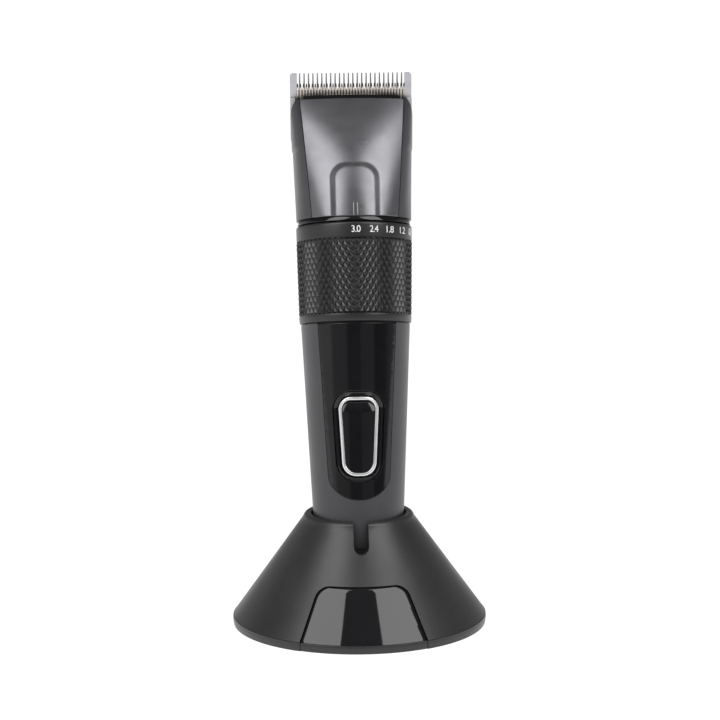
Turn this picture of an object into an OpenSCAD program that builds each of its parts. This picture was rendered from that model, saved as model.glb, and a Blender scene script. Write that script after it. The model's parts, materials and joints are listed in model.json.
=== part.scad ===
/* [Stand] */
// Radius of the stand at its widest, low on the skirt
stand_r = 45; // [44:0.5:46]
// Height of the stand's collar above the table
stand_h = 39.5; // [39:0.5:40.5]
// Wall thickness of the stand's moulded shell
stand_wall = 2.2; // [1.8:0.1:2.6]
// Width of the cable slot in the front of the collar
slot_w = 5.2; // [5:0.1:6]
// Half of the angle that the glossy front panel covers at the foot
window_half_angle = 29; // [28:0.5:30]
// Height of the front panel's top edge
window_top = 20.2; // [19:0.2:21]

/* [Handset] */
// Angle at which the handset leans back in its stand
lean = 12; // [10:1:13]
// Depth of handset hidden below the collar, along its axis
seat_depth = 17; // [15:1:18]
// Radius of the handle at its bottom end
handle_r0 = 15.3; // [15:0.05:15.5]
// Radius of the handle just below the dial
handle_r1 = 19.35; // [19.1:0.05:19.5]
// Length of the handle up to the dial
handle_len = 83; // [82:0.5:83.5]
// Wall thickness of the handle shells
handle_wall = 1.8; // [1.6:0.1:2]
// Travel of the power button
button_travel = 1; // [0.6:0.1:1.2]

/* [Dial] */
// Radius of the dial at its number band
dial_r = 20.6; // [20.5:0.1:20.8]
// Angle between two neighbouring dial settings
dial_step = 18; // [16:1:18]
// Axial travel that the dial gives the cutter
length_travel = 2.2; // [1.8:0.1:2.2]

/* [Head] */
// Half of the head's width at the blade
head_half_w = 22; // [21.8:0.1:22.1]
// Height of the front cover's top edge above the handset's bottom
cover_top = 164.2; // [163.6:0.1:164.6]

/* [Blades] */
// Overall width of the fixed blade
blade_w = 43.9; // [43.6:0.1:44]
// Forward tilt of the blade plane against the handset's axis
blade_tilt = 15; // [13:1:16]
// Number of fine teeth on the fixed blade
fixed_teeth = 24; // [20:2:24]
// Spacing of the fine teeth
fixed_pitch = 1.6; // [1.5:0.01:1.61]
// Number of teeth on the moving blade
cutter_teeth = 37; // [31:2:37]
// Spacing of the moving blade's teeth
cutter_pitch = 1.067; // [1:0.001:1.067]
// Half of the moving blade's side-to-side stroke
stroke = 1.2; // [0.8:0.1:1.2]

/* [Hidden] */
$fn = 96;
far = 100; // reaches past everything that it cuts

// ---- placing ----

// The handset's axis crosses the collar's height a little behind the stand's centre.
axis_y_at_rim = 0.55;
seat_y = axis_y_at_rim - seat_depth * sin(lean);
seat_z = stand_h - seat_depth * cos(lean);
module in_stand() translate([0, seat_y, seat_z]) rotate([-lean, 0, 0]) children();

// The blade's own frame: origin at the middle of the teeth's tips, +Z towards the tips, -Y to the front.
blade_tip_y = 8;
blade_tip_z = 174.6;
module at_blade() translate([0, blade_tip_y, blade_tip_z]) rotate([blade_tilt, 0, 0]) children();

// ---- shared shapes ----

// A round shell between two heights, with straight or tapering walls.
module tube(z0, z1, outer0, outer1, inner0, inner1)
    rotate_extrude() polygon([[inner0, z0], [outer0, z0], [outer1, z1], [inner1, z1]]);

module solid_cone(z0, z1, r0, r1) translate([0, 0, z0]) cylinder(h = z1 - z0, r1 = r0, r2 = r1);

// A prism of a flat outline drawn as seen from the front, running from y0 back to y1.
module from_front(y0, y1) translate([0, y1, 0]) rotate([90, 0, 0]) linear_extrude(y1 - y0) children();

// A prism of an outline drawn as seen from the right side (y across, z up), half_w to each side.
module from_side(half_w) rotate([90, 0, 90]) linear_extrude(2 * half_w, center = true) children();

module box(lo, hi) translate(lo) cube(hi - lo);

function handle_r(z) = handle_r0 + (handle_r1 - handle_r0) * z / handle_len;

// A closed solid between an outer and an inner grid of points, rows going up and columns going
// anticlockwise. A closed grid joins its last column to its first.
module grid_solid(outer, inner, closed) {
    rows = len(outer);
    cols = len(outer[0]);
    wrap = closed ? cols : cols - 1;
    function o(i, j) = i * cols + j % cols;
    function n(i, j) = rows * cols + i * cols + j % cols;
    top = rows - 1;
    last = cols - 1;
    polyhedron(
        points = concat([for (r = outer) each r], [for (r = inner) each r]),
        faces = concat(
            [for (i = [0:top - 1]) for (j = [0:wrap - 1]) each [
                [o(i, j), o(i + 1, j), o(i + 1, j + 1)], [o(i, j), o(i + 1, j + 1), o(i, j + 1)],
                [n(i, j), n(i + 1, j + 1), n(i + 1, j)], [n(i, j), n(i, j + 1), n(i + 1, j + 1)]]],
            [for (j = [0:wrap - 1]) each [
                [o(0, j), o(0, j + 1), n(0, j + 1)], [o(0, j), n(0, j + 1), n(0, j)],
                [o(top, j), n(top, j + 1), o(top, j + 1)], [o(top, j), n(top, j), n(top, j + 1)]]],
            closed ? [] : [for (i = [0:top - 1]) each [
                [o(i, 0), n(i, 0), n(i + 1, 0)], [o(i, 0), n(i + 1, 0), o(i + 1, 0)],
                [o(i, last), n(i + 1, last), n(i, last)], [o(i, last), o(i + 1, last), n(i + 1, last)]]]
        )
    );
}

// ---- stand ----

skirt_z = 3;                         // the shell's lower edge
foot_gap = 0.05;                     // the base plate's height above the table
skirt_slope = 0.718;                 // how much the cone narrows for each millimetre of height
cone_top_r = stand_r + 1.93 - skirt_slope * stand_h;
function cone_r(z) = cone_top_r + skirt_slope * (stand_h - z);
cup_wall = 1.0;
cup_r = 16.8;                        // the cup's mouth
cup_shift = -0.45;                   // the cup sits this much further forward than the handset
cup_floor_z = -0.25;                 // just below the handset's end, along its axis
pin_x = 5;
slot_round_z = 32.4;                 // centre of the slot's round lower end
inlet_y = 35;
inlet_z = 9;

module slot_cut(margin = 0) from_front(-far, -handle_r0 + 4) {
    translate([0, slot_round_z]) circle(r = slot_w / 2 + margin);
    translate([-slot_w / 2 - margin, slot_round_z]) square([slot_w + 2 * margin, 20]);
}

module cup_bore(grow) translate([0, cup_shift, 0]) in_stand()
    solid_cone(-4, 30, cup_r - 0.96 - 0.2 + grow, cup_r + 0.73 + grow);

// A skin of the cone's wall between two depths below its surface.
module cone_skin(depth0, depth1, z0, z1)
    tube(z0, z1, cone_r(z0) - depth0, cone_r(z1) - depth0, cone_r(z0) - depth1, cone_r(z1) - depth1);

window_corner_r = 6;
window_lean = 22;                    // how far the panel's sides lean inwards, in degrees
window_half_w = stand_r * sin(window_half_angle);

// The front panel's outline as seen from the front: leaning sides and round top corners.
module window_outline(margin) {
    r = window_corner_r + margin;
    corner_z = window_top - window_corner_r;
    corner_x = window_half_w - (corner_z - skirt_z) * tan(window_lean) - window_corner_r / cos(window_lean);
    foot_x = window_half_w + margin / cos(window_lean) + 3 * tan(window_lean);
    turns = [for (i = [0:6]) mix(window_lean, 90, i / 6)];
    corner = [for (a = turns) [corner_x + r * cos(a), corner_z + r * sin(a)]];
    polygon(concat(
        [[-foot_x, skirt_z - 3], [foot_x, skirt_z - 3]],
        corner,
        [for (i = [6:-1:0]) [-corner[i][0], corner[i][1]]]
    ));
}

module stand_shell() color("#3a3a3b") difference() {
    rotate_extrude() polygon([
        [cone_r(skirt_z) - stand_wall - 0.6, skirt_z], [cone_r(skirt_z), skirt_z],
        [cone_r(stand_h - 1.6), stand_h - 1.6], [cone_top_r + 0.5, stand_h - 0.45],
        [cone_top_r - 0.3, stand_h], [16, stand_h], [16, stand_h - 4.6],
        [cone_r(stand_h - 4.6) - stand_wall - 0.6, stand_h - 4.6]
    ]);
    cup_bore(0);
    slot_cut();
    intersection() {
        from_front(-far, 0) window_outline(0.1);
        cone_skin(-5, 1.35, skirt_z - 1, window_top + 1);
    }
    box([-8, inlet_y - 0.9, skirt_z - 1], [8, far, inlet_z + 5]);
}

module window_foot(depth0, depth1, half_angle, z0, z1)
    rotate([0, 0, -90 - half_angle]) rotate_extrude(angle = 2 * half_angle) polygon([
        [band_r(z0) - depth1, z0], [band_r(z0) - depth0, z0],
        [band_r(z1) - depth0, z1], [band_r(z1) - depth1, z1]
    ]);

module stand_window() color("#101011") {
    intersection() {
        from_front(-far, 0) window_outline(0);
        cone_skin(0.3, 1.3, skirt_z - 0.1, window_top + 1);
    }
    window_foot(0.15, 2, window_half_angle, foot_gap, skirt_z);
}

module stand_cup() color("#2c2c2d") difference() {
    union() {
        intersection() {
            cup_bore(cup_wall);
            translate([0, 0, 10]) cylinder(h = stand_h - 4.7 - 10, r = 40);
            in_stand() translate([0, 0, cup_floor_z - 1.8]) cylinder(h = 40, r = 60);
        }
        in_stand() for (a = [0, 180, 270]) rotate([0, 0, a])
            box([12.5, -1.6, -24], [15.5, 1.6, cup_floor_z - 1]);
    }
    difference() {
        cup_bore(0);
        in_stand() translate([0, 0, cup_floor_z - 6]) cylinder(h = 6, r = 60);
    }
    slot_cut();
    in_stand() for (x = [-pin_x, pin_x]) translate([x, 0, -6]) cylinder(h = 8, r = 1.75);
    box([-far, -far, -far], [far, far, skirt_z]);
}

// Radius of the upright band around the foot.
function band_r(z) = mix(stand_r - 0.25, stand_r, min(z / 1.8, 1));

module base_plate() color("#333334") difference() {
    union() {
        rotate_extrude() polygon([
            [0, foot_gap], [band_r(foot_gap), foot_gap], [stand_r, 1.8],
            [stand_r - 0.1, skirt_z - 0.05], [0, skirt_z - 0.05]
        ]);
        tube(skirt_z - 0.1, 5.4, cone_r(5.4) - 3.2, cone_r(5.4) - 3.2, cone_r(5.4) - 4.6, cone_r(5.4) - 4.6);
    }
    tube(-1, foot_gap + 0.55, 40.1, 40.1, 34.9, 34.9);
    window_foot(-9, 2.1, window_half_angle + 0.15, -1, 9);
    for (a = base_screw_angles) rotate([0, 0, a]) translate([base_screw_r, 0, -1]) {
        cylinder(h = 9, r = 1.3);
        cylinder(h = 2.2, r = 2.8);
    }
    box([-8.2, inlet_y - 0.4, skirt_z - 0.05], [8.2, far, 9]);
}

module foot_ring() color("#1c1c1d") tube(0, foot_gap + 0.5, 40, 40, 35, 35);

base_screw_r = 27;
base_screw_angles = [30, 150, 270];

module base_screws() color("#8f9194") for (a = base_screw_angles)
    rotate([0, 0, a]) translate([base_screw_r, 0, 0]) {
        difference() {
            translate([0, 0, foot_gap]) cylinder(h = 0.75, r = 2.5);
            box([-1.8, -0.3, foot_gap - 1], [1.8, 0.3, foot_gap + 0.45]);
            box([-0.3, -1.8, foot_gap - 1], [0.3, 1.8, foot_gap + 0.45]);
        }
        translate([0, 0, foot_gap + 0.7]) cylinder(h = 5.2, r = 1.2);
    }

barrel_y = seat_y - 11 * sin(lean);
board_z = 11;

module stand_board() color("#2d6b3f") difference() {
    box([-11.5, -9.5, board_z], [11.5, 22, board_z + 1.2]);
    for (x = [-pin_x, pin_x]) translate([x, barrel_y, 0]) cylinder(h = 20, r = 1.9);
}

// Barrels of the two sprung charging contacts, open at the top.
module pin_barrels() color("#c9a84e") in_stand() for (x = [-pin_x, pin_x]) translate([x, 0, 0]) difference() {
    translate([0, 0, -12]) cylinder(h = 11.4, r = 1.6);
    translate([0, 0, -8.6]) cylinder(h = 10, r = 1.05);
}

module charge_pin(x) color("#dcb95c") in_stand() translate([x, 0, 0]) {
    translate([0, 0, -7]) cylinder(h = 6.2, r = 0.98);
    translate([0, 0, -0.8]) cylinder(h = 1.0, r = 0.8);
    translate([0, 0, 0.2]) cylinder(h = 0.4, r1 = 0.8, r2 = 0.4);
}
module charge_pin_left() charge_pin(-pin_x);
module charge_pin_right() charge_pin(pin_x);

module power_inlet() color("#19191a") difference() {
    box([-5, inlet_y - 12, skirt_z], [5, inlet_y, inlet_z + 4.4]);
    translate([0, inlet_y + 1, inlet_z]) rotate([90, 0, 0]) cylinder(h = 10, r = 1.8);
}

// ---- handle ----

inlay_depth = 1.2;
inlay_half_w0 = 10.75;               // at the height where its rounded bottom starts
inlay_half_w1 = 13.9;                // at the dial
inlay_round_z = 30;
inlay_round_h = 9;

// The glossy inlay's outline: straight, widening sides over a rounded lower end.
module inlay_outline(margin) polygon(concat(
    [[inlay_half_w1 + margin, handle_len + 5], [-inlay_half_w1 - margin, handle_len + 5]],
    [for (a = [180:6:360]) [
        (inlay_half_w0 + margin) * cos(a), inlay_round_z + (inlay_round_h + margin) * sin(a)]]
));

button_z0 = 29.3;
button_z1 = 56.9;
button_half_w0 = 6;
button_half_w1 = 7;

// The button's outline, wider at the top, grown by a margin.
module button_outline(margin) hull() {
    for (s = [-1, 1]) {
        translate([s * (button_half_w1 - 4.2), button_z1 - 4.2]) circle(r = 4.2 + margin, $fn = 48);
        translate([s * (button_half_w0 - 5), button_z0 + 5]) circle(r = 5 + margin, $fn = 48);
    }
}

// A skin of the handle between two depths below its surface.
module handle_skin(depth0, depth1, z0 = 0, z1 = handle_len)
    tube(z0, z1, handle_r(z0) - depth0, handle_r(z1) - depth0, handle_r(z0) - depth1, handle_r(z1) - depth1);

module handle_wall_round() union() {
    handle_skin(0, handle_wall, 4, handle_len - 0.6);
    tube(handle_len - 0.6, handle_len, handle_r1 - 0.05, handle_r1 - 0.6,
        handle_r1 - handle_wall, handle_r1 - handle_wall);
}

module front_shell() color("#4a4a4e") difference() {
    intersection() {
        handle_wall_round();
        box([-far, -far, 0], [far, -0.05, far]);
    }
    intersection() {
        from_front(-far, 0) inlay_outline(0.12);
        handle_skin(-5, inlay_depth, 1, far);
    }
    from_front(-far, 0) button_outline(2.1);
}

module rear_shell() color("#4a4a4e") difference() {
    intersection() {
        handle_wall_round();
        box([-far, 0.05, 0], [far, far, far]);
    }
    for (p = screw_places) translate([p[0], 0, p[1]]) rotate([-90, 0, 0]) cylinder(h = far, r = 2.4);
}

module gloss_inlay() color("#0c0c0d") difference() {
    intersection() {
        from_front(-far, 0) inlay_outline(0);
        handle_skin(0, inlay_depth, 1, handle_len - 0.4);
    }
    from_front(-far, 0) button_outline(2.1);
}

// The sunken frame around the button.
module button_bezel() color("#111112") difference() {
    intersection() {
        from_front(-far, 0) button_outline(2.0);
        handle_skin(0.5, 2.6, 1, handle_len);
    }
    from_front(-far, 0) button_outline(0.25);
}

stem_end = 15.25;                    // how far the button's stem reaches forward, inside its cap

module power_button() color("#0d0d0e") {
    difference() {
        intersection() {
            from_front(-far, 0) button_outline(0);
            handle_skin(-0.35, 3.4, 1, handle_len);
        }
        intersection() {
            from_front(-far, 0) difference() {
                button_outline(1);
                button_outline(-1.2);
            }
            handle_skin(-2, 0.45, 1, handle_len);
        }
    }
    stem = switch_h - board_y + button_travel + 0.05;
    translate([0, 0, button_press_z]) rotate([90, 0, 0]) translate([0, 0, stem]) cylinder(h = stem_end - stem, r = 2);
}

module button_trim() color("#c9cacb") intersection() {
    from_front(-far, 0) difference() {
        button_outline(0);
        button_outline(-1.2);
    }
    handle_skin(-0.45, 0.45, 1, handle_len);
}

button_press_z = 44;

screw_places = [[0, 24], [-8, 72], [8, 72]];

module housing_screws() color("#77797c") for (p = screw_places) {
    reach = sqrt(pow(handle_r(p[1]), 2) - pow(p[0], 2));
    translate([p[0], 0, p[1]]) rotate([-90, 0, 0]) {
        translate([0, 0, reach - 2.2]) difference() {
            cylinder(h = 1.6, r = 2.2);
            box([-1.5, -0.3, 0.8], [1.5, 0.3, 3]);
            box([-0.3, -1.5, 0.8], [0.3, 1.5, 3]);
        }
        translate([0, 0, 13.8]) cylinder(h = reach - 15.9, r = 1.1);
    }
}
socket_y = 8;

module end_cap() color("#3c3c3f") difference() {
    union() {
        solid_cone(0, 1, handle_r0 - 0.9, handle_r(1) - 0.05);
        solid_cone(1, 3.95, handle_r(1) - 0.05, handle_r(3.95) - 0.05);
        solid_cone(3.9, 6, handle_r(4) - handle_wall - 0.1, handle_r(4) - handle_wall - 0.1);
    }
    translate([0, 0, 2.2]) cylinder(h = far, r = handle_r0 - handle_wall - 1.6);
    for (x = [-pin_x, pin_x]) translate([x, 0, -1]) cylinder(h = far, r = 1.9);
    translate([0, socket_y, -1]) cylinder(h = far, r = 3.2);
}

module contact_pads() color("#d9b65a") for (x = [-pin_x, pin_x])
    translate([x, 0, 0.8]) cylinder(h = 2.2, r = 1.85);

module charge_socket() color("#141415") difference() {
    translate([0, socket_y, 0.3]) cylinder(h = 9.2, r = 3.1);
    translate([0, socket_y, -0.5]) cylinder(h = 8.5, r = 1.75);
}

module battery_cell() color("#2f6fb0") translate([0, 5, 13]) {
    cylinder(h = 49, r = 7.2);
    translate([0, 0, 48.9]) cylinder(h = 1.2, r = 2.6);
}

module battery_cradle() color("#232324") difference() {
    translate([0, 5, 12]) cylinder(h = 53, r = 8.6);
    translate([0, 5, 12.9]) cylinder(h = 51.2, r = 7.4);
    box([-far, -far, 0], [far, 5 - 2.6, far]);
    for (z = [20, 46]) box([-far, 0, z], [far, 11, z + 12]);
}

board_y = -8.6;
switch_h = 2.4;                      // from the board to the top of the switch's plunger

module circuit_board() color("#24623a") difference() {
    box([-9, board_y, 16], [9, board_y + 1.2, 65.2]);
    for (z = [20, 61]) translate([0, 0, z]) rotate([90, 0, 0]) cylinder(h = 40, r = 1.2, center = true);
}

module tact_switch() color("#b9babc") translate([0, board_y, button_press_z]) rotate([90, 0, 0]) {
    box([-3, -3, 0], [3, 3, 1.6]);
    translate([0, 0, 1.5]) cylinder(h = switch_h - 1.5, r = 1.6);
}

// ---- motor and neck ----

neck_r = 17.3;
neck_wall = 1.6;
motor_z0 = 68;
motor_z1 = 97;
motor_r = 11;
pin_orbit = stroke * 2 / 3;          // the drive pin's offset: the lever's lower arm is two thirds of its upper

module motor_can() color("#a9abad") difference() {
    union() {
        solid_cone(motor_z0, motor_z1, motor_r, motor_r);
        solid_cone(motor_z1 - 0.1, motor_z1 + 1.6, 3.6, 3.6);
    }
    translate([0, 0, motor_z1 - 8]) cylinder(h = 20, r = 1.3);
}

module motor_cushion() color("#1a1a1a")
    tube(motor_z0 + 2, motor_z1 - 3, motor_r + 1.4, motor_r + 1.4, motor_r, motor_r);

module motor_shaft() color("#c4c6c8") solid_cone(motor_z1 - 7.5, motor_z1 + 7, 1, 1);

module eccentric() color("#d8d9da") difference() {
    union() {
        solid_cone(motor_z1 + 3, motor_z1 + 8.5, 4, 4);
        translate([pin_orbit, 0, 0]) solid_cone(motor_z1 + 8.4, motor_z1 + 16.5, 0.8, 0.8);
    }
    solid_cone(motor_z1 + 2, motor_z1 + 7, 1, 1);
}

module motor_mount() color("#262627") difference() {
    union() {
        solid_cone(motor_z0 - 2.4, motor_z0 - 0.1, 16.4, 16.5);
        tube(motor_z0 - 0.2, motor_z0 + 14, motor_r + 2.9, motor_r + 2.9, motor_r + 1.5, motor_r + 1.5);
    }
    solid_cone(motor_z0 - 5, motor_z0 + 1, 5, 5);
}

carriage_z = motor_z1 + 4;           // height of the follower pin at rest

spigot_z0 = handle_len - 7;           // the neck's collar that sits inside the handle shells
spigot_z1 = handle_len - 4;
module neck_tube() color("#1b1b1c") difference() {
    union() {
        tube(motor_z0 + 8, 124, neck_r - 0.4, neck_r - 0.4, neck_r - neck_wall, neck_r - neck_wall);
        tube(handle_len + 0.2, 118.2, neck_r, neck_r, neck_r - neck_wall, neck_r - neck_wall);
        spigot_r0 = handle_r(spigot_z0) - handle_wall - 0.1;
        spigot_r1 = handle_r(spigot_z1) - handle_wall - 0.1;
        tube(spigot_z0, spigot_z1, spigot_r0, spigot_r1, neck_r - 1, neck_r - 1);
    }
    box([0, -1.1, carriage_z - 1.4], [far, 1.1, carriage_z + length_travel + 1.4]);
}

dial_z0 = 83.4;
dial_z1 = 118;
knurl_z0 = 86;
knurl_z1 = 112.6;
grip_inner_r = 19.45;
cam_tilt = atan(length_travel / (2 * sin(2 * dial_step)) / (neck_r + 0.7));
dial_travel = 4 * dial_step;

// The cam groove lies in a tilted plane, so a turn of the dial lifts the follower pin.
module cam_groove() translate([0, 0, carriage_z + length_travel / 2])
    rotate([0, 0, dial_travel / 2]) rotate([cam_tilt, 0, 0])
        cylinder(h = 2.2, r = neck_r + 1.35, center = true);

module dial_ring() color("#2b2b2c") difference() {
    rotate_extrude() polygon([
        [neck_r + 0.2, dial_z0 + 0.2], [handle_r1 + 0.1, dial_z0], [dial_r - 0.65, knurl_z0 - 0.9],
        [dial_r - 0.6, knurl_z0], [grip_inner_r, knurl_z0], [grip_inner_r, knurl_z1],
        [dial_r - 0.1, knurl_z1], [dial_r, dial_z1 - 0.7],
        [dial_r - 0.7, dial_z1], [neck_r + 0.2, dial_z1]
    ]);
    cam_groove();
}

module grip_sleeve() color("#262627")
    tube(knurl_z0 + 0.02, knurl_z1 - 0.02, dial_r - 0.6, dial_r, grip_inner_r + 0.02, grip_inner_r + 0.02);

module gloss_collar() color("#070708")
    tube(dial_z1 + 0.3, 120, 20.15, 20.15, neck_r - 0.35, neck_r - 0.35);

module neck_seal() color("#202021")
    rotate_extrude() translate([neck_r - 0.4 + 0.7, 122.4]) circle(r = 0.7, $fn = 32);

module length_carriage() color("#e3e2dc") {
    tube(carriage_z - 2, carriage_z + 2, 15.3, 15.3, 12.7, 12.7);
    translate([14, 0, carriage_z]) rotate([0, 90, 0]) cylinder(h = neck_r + 1.05 - 14, r = 0.85);
    for (s = [-1, 1]) difference() {
        box([s * 9.5 - 1.4, 9.4, carriage_z + 1], [s * 9.5 + 1.4, 11, 153.6]);
        solid_cone(carriage_z - 10, carriage_z + 30, 12.7, 12.7);
    }
}

// ---- drive lever ----

lever_z = 132;

module lever_pivot() color("#bfc1c3")
    translate([0, 0, lever_z]) rotate([-90, 0, 0]) translate([0, 0, -7]) cylinder(h = 17, r = 1);

// A fork that straddles the drive pin below its pivot, and a finger that enters the cutter's slot above it.
module drive_lever() color("#dddcd6") difference() {
    union() {
        translate([0, 0, lever_z]) rotate([-90, 0, 0]) translate([0, 0, -1.2]) cylinder(h = 6.4, r = 3);
        box([-5, -1.2, 107.5], [5, 1.2, 118.4]);
        box([-2, -1.2, 118], [2, 1.2, lever_z]);
        box([-1.6, 3.4, lever_z], [1.6, 5.2, 163]);
        at_blade() box([-1, -8, -11.6], [1, -1.6, -10]);
    }
    box([-3.4, -5, 100], [3.4, 5, 116]);
    translate([0, 0, lever_z]) rotate([-90, 0, 0]) translate([0, 0, -9]) cylinder(h = 30, r = 1.06);
}

// ---- head ----

head_z0 = 120;
function head_t(z) = (z - head_z0) / (cover_top - head_z0);
function mix(a, b, t) = a + (b - a) * t;

// Centre line of the head's front: nearly upright at the neck, leaning back towards the blade.
function front_y(z) = -20.45 + 20 * (0.38 * head_t(z) + 0.62 * pow(head_t(z), 2));
function half_w(z) = mix(20.45, head_half_w, head_t(z)) + (z > 145.9 ? 0.25 : 0);
function crease_x(z) = mix(15.3, 18.9, head_t(z));
function crease_y(z) = front_y(z) + mix(6.66, 2.6, head_t(z));
function side_y(z) = 9 * pow(head_t(z), 0.8);
function back_y(z) = mix(20.4, 13.6, head_t(z));
function boxiness(z) = mix(2, 4.5, head_t(z));

// A point on the front face, s running from -1 at the left crease to 1 at the right one.
function face_point(z, s, inset) =
    let (c = crease_x(z), sag = crease_y(z) - front_y(z), r = (c * c + sag * sag) / (2 * sag), x = c * s)
    [x * (1 - inset / r), front_y(z) + r - sqrt(r * r - x * x) * (1 - inset / r), z];

// A point on the right cheek, s running from 0 at the crease to 1 at the widest place.
function cheek_point(z, s, inset) =
    let (c = [crease_x(z), crease_y(z)], w = [half_w(z), side_y(z)], k = [half_w(z), mix(c[1], w[1], 0.42)],
         p = c * pow(1 - s, 2) + k * 2 * s * (1 - s) + w * s * s,
         d = (k - c) * (1 - s) + (w - k) * s, n = norm(d))
    [p[0] - inset * d[1] / n, p[1] + inset * d[0] / n, z];

// A point on the right half of the back, a running from 0 at the widest place to 90 at the middle.
function back_point(z, a, inset) =
    let (e = 2 / boxiness(z), y0 = side_y(z))
    [(half_w(z) - inset) * pow(cos(a), e), y0 + (back_y(z) - inset - y0) * pow(sin(a), e), z];

function mirrored(p) = [-p[0], p[1], p[2]];

head_rows = 14;
function head_height(i) = mix(head_z0, cover_top, i / head_rows);

cover_share = 0.995;                 // share of the width between the creases that the cover fills
function face_grid(inset) = [for (i = [0:head_rows]) [for (j = [-8:8])
    face_point(head_height(i), j / 8 * cover_share, inset)]];

function rim_row(z, inset) = let (
    cheek = [for (j = [0:6]) j == 0 ? face_point(z, 1, inset) : cheek_point(z, j / 6, inset)],
    back = [for (a = [10:10:80]) back_point(z, a, inset)])
    concat(cheek, back, [back_point(z, 90, inset)],
        [for (j = [7:-1:0]) mirrored(back[j])], [for (j = [6:-1:0]) mirrored(cheek[j])]);
function rim_grid(inset) = [for (i = [0:head_rows]) rim_row(head_height(i), inset)];

head_wall = 1.6;

// The bay at the back of the head that the blade unit sits in, as seen from the right.
module blade_bay(margin) from_side(40) polygon([
    [-2, 180], [3.6 - margin, cover_top + 0.1], [6.9 - margin, 158.4], [6.4 - margin, 155.6],
    [7.7 - margin, 148.8 - margin], [60, 162.2 - margin], [60, 180]
]);

module head_cover() color("#55555b") grid_solid(face_grid(0), face_grid(head_wall), false);

module head_frame() color("#47474b") difference() {
    grid_solid(rim_grid(0), rim_grid(head_wall), false);
    blade_bay(0.4);
}

// The black inner frame, whose lip shows as a dark band above the front cover.
lip_h = 1.6;
function liner_height(i) = i == 7 ? cover_top + lip_h : mix(126, cover_top, i / 6);
function liner_point(z, s, inset) =
    let (above = max(z - cover_top, 0)) face_point(z - above, s * 0.94, inset) + [0, above * 0.5, above];
function liner_grid(inset) = [for (i = [0:7]) [for (j = [-6:6]) liner_point(liner_height(i), j / 6, inset)]];
module head_liner() color("#0e0e0f") {
    grid_solid(liner_grid(head_wall + 0.25), liner_grid(head_wall + 1.3), false);
    difference() {
        box([-4.5, -13.9, lever_z - 3], [4.5, -4.6, lever_z + 3]);
        translate([0, 0, lever_z]) rotate([90, 0, 0]) cylinder(h = far, r = 1);
    }
}

// ---- blades ----

cutter_tip = -3.7;
cutter_half_w = 19.6;

// A comb seen from the front: a plate with its top edge cut into teeth.
function comb(count, pitch, half_w, low, root, tip, tooth_base, tooth_tip) = concat(
    [[-half_w, root], [-half_w, low], [half_w, low], [half_w, root]],
    [for (i = [count - 1:-1:0]) let (x = (i - (count - 1) / 2) * pitch) each [
        [x + tooth_base / 2, root], [x + tooth_tip / 2, tip],
        [x - tooth_tip / 2, tip], [x - tooth_base / 2, root]]]
);

end_tooth_w = 2.55;
blade_edge = blade_w / 2;
module fixed_blade() color("#c3c5c9") at_blade() difference() {
    union() {
        from_front(0, 1.3) polygon(comb(fixed_teeth, fixed_pitch, blade_edge, -23.5, -6.4, 0, 0.8, 0.55));
        for (s = [-1, 1]) from_front(0, 1.3) polygon([
            [s * blade_edge, -7], [s * blade_edge, -0.6], [s * (blade_edge - 0.7), 0],
            [s * (blade_edge - end_tooth_w), 0], [s * (blade_edge - end_tooth_w), -7]]);
    }
    from_side(far) polygon([[0.55, 0.5], [1.4, -7.5], [1.4, 0.5]]);
    for (s = [-1, 1])
        translate([s * 19.2, 0, -18.6]) rotate([-90, 0, 0]) cylinder(h = 9, r = 1.25, center = true);
}
module cutter_blade() color("#d8cfc4") at_blade() difference() {
    union() {
        from_front(-1.05, -0.06) polygon(comb(cutter_teeth, cutter_pitch, cutter_half_w,
            cutter_tip - 4.9, cutter_tip - 1.9, cutter_tip, 0.72, 0.45));
        box([-18.4, -1.05, cutter_tip - 9.3], [18.4, -0.06, cutter_tip - 4.8]);
    }
    for (i = [0:cutter_teeth - 2]) let (x = (i - (cutter_teeth - 2) / 2) * cutter_pitch)
        box([x - 0.18, -2, cutter_tip - 4.3], [x + 0.18, -0.7, cutter_tip - 1.8]);
}

module cutter_bridge() color("#e6e4de") at_blade() difference() {
    union() {
        box([-9, -4.6, cutter_tip - 9.2], [9, -1.06, cutter_tip - 4.6]);
        box([-2.9, -4.6, cutter_tip - 10.6], [2.9, -1.06, cutter_tip - 9.1]);
    }
    box([-1.38, -8, cutter_tip - 20], [1.38, -1.3, cutter_tip - 6]);
    for (s = [-1, 1]) box([s * 6 - 1.2, -8, cutter_tip - 7.4], [s * 6 + 1.2, -3.2, cutter_tip - 6.2]);
}

// The sled under the cutter's foot, which carries it towards the tips and lets it run from side to side.
module cutter_sled() color("#3a3a3c") at_blade() difference() {
    box([-15.5, -2.5, -20.6], [15.5, -1.2, cutter_tip - 9.5]);
    box([-4.6, -8, -30], [4.6, 8, cutter_tip - 11.4]);
    box([-4.6, -8, -17], [4.6, 8, 0]);
    for (s = [-1, 1]) box([s * 9.5 - 3, -8, -18.6], [s * 9.5 + 3, 8, -15.4]);
}

module pressure_spring() color("#b4b6b8") at_blade() for (s = [-1, 1]) {
    box([s * 12.5 - 1, -3.0, -20], [s * 12.5 + 1, -2.52, cutter_tip - 9.6]);
    box([s * 12.5 - 1, -3.0, cutter_tip - 9.7], [s * 12.5 + 1, -2.6, cutter_tip - 6]);
}

carrier_x = 16.4;
carrier_low = -24.2;
hinge_y = -1.6;
hinge_z = -22.6;

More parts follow.
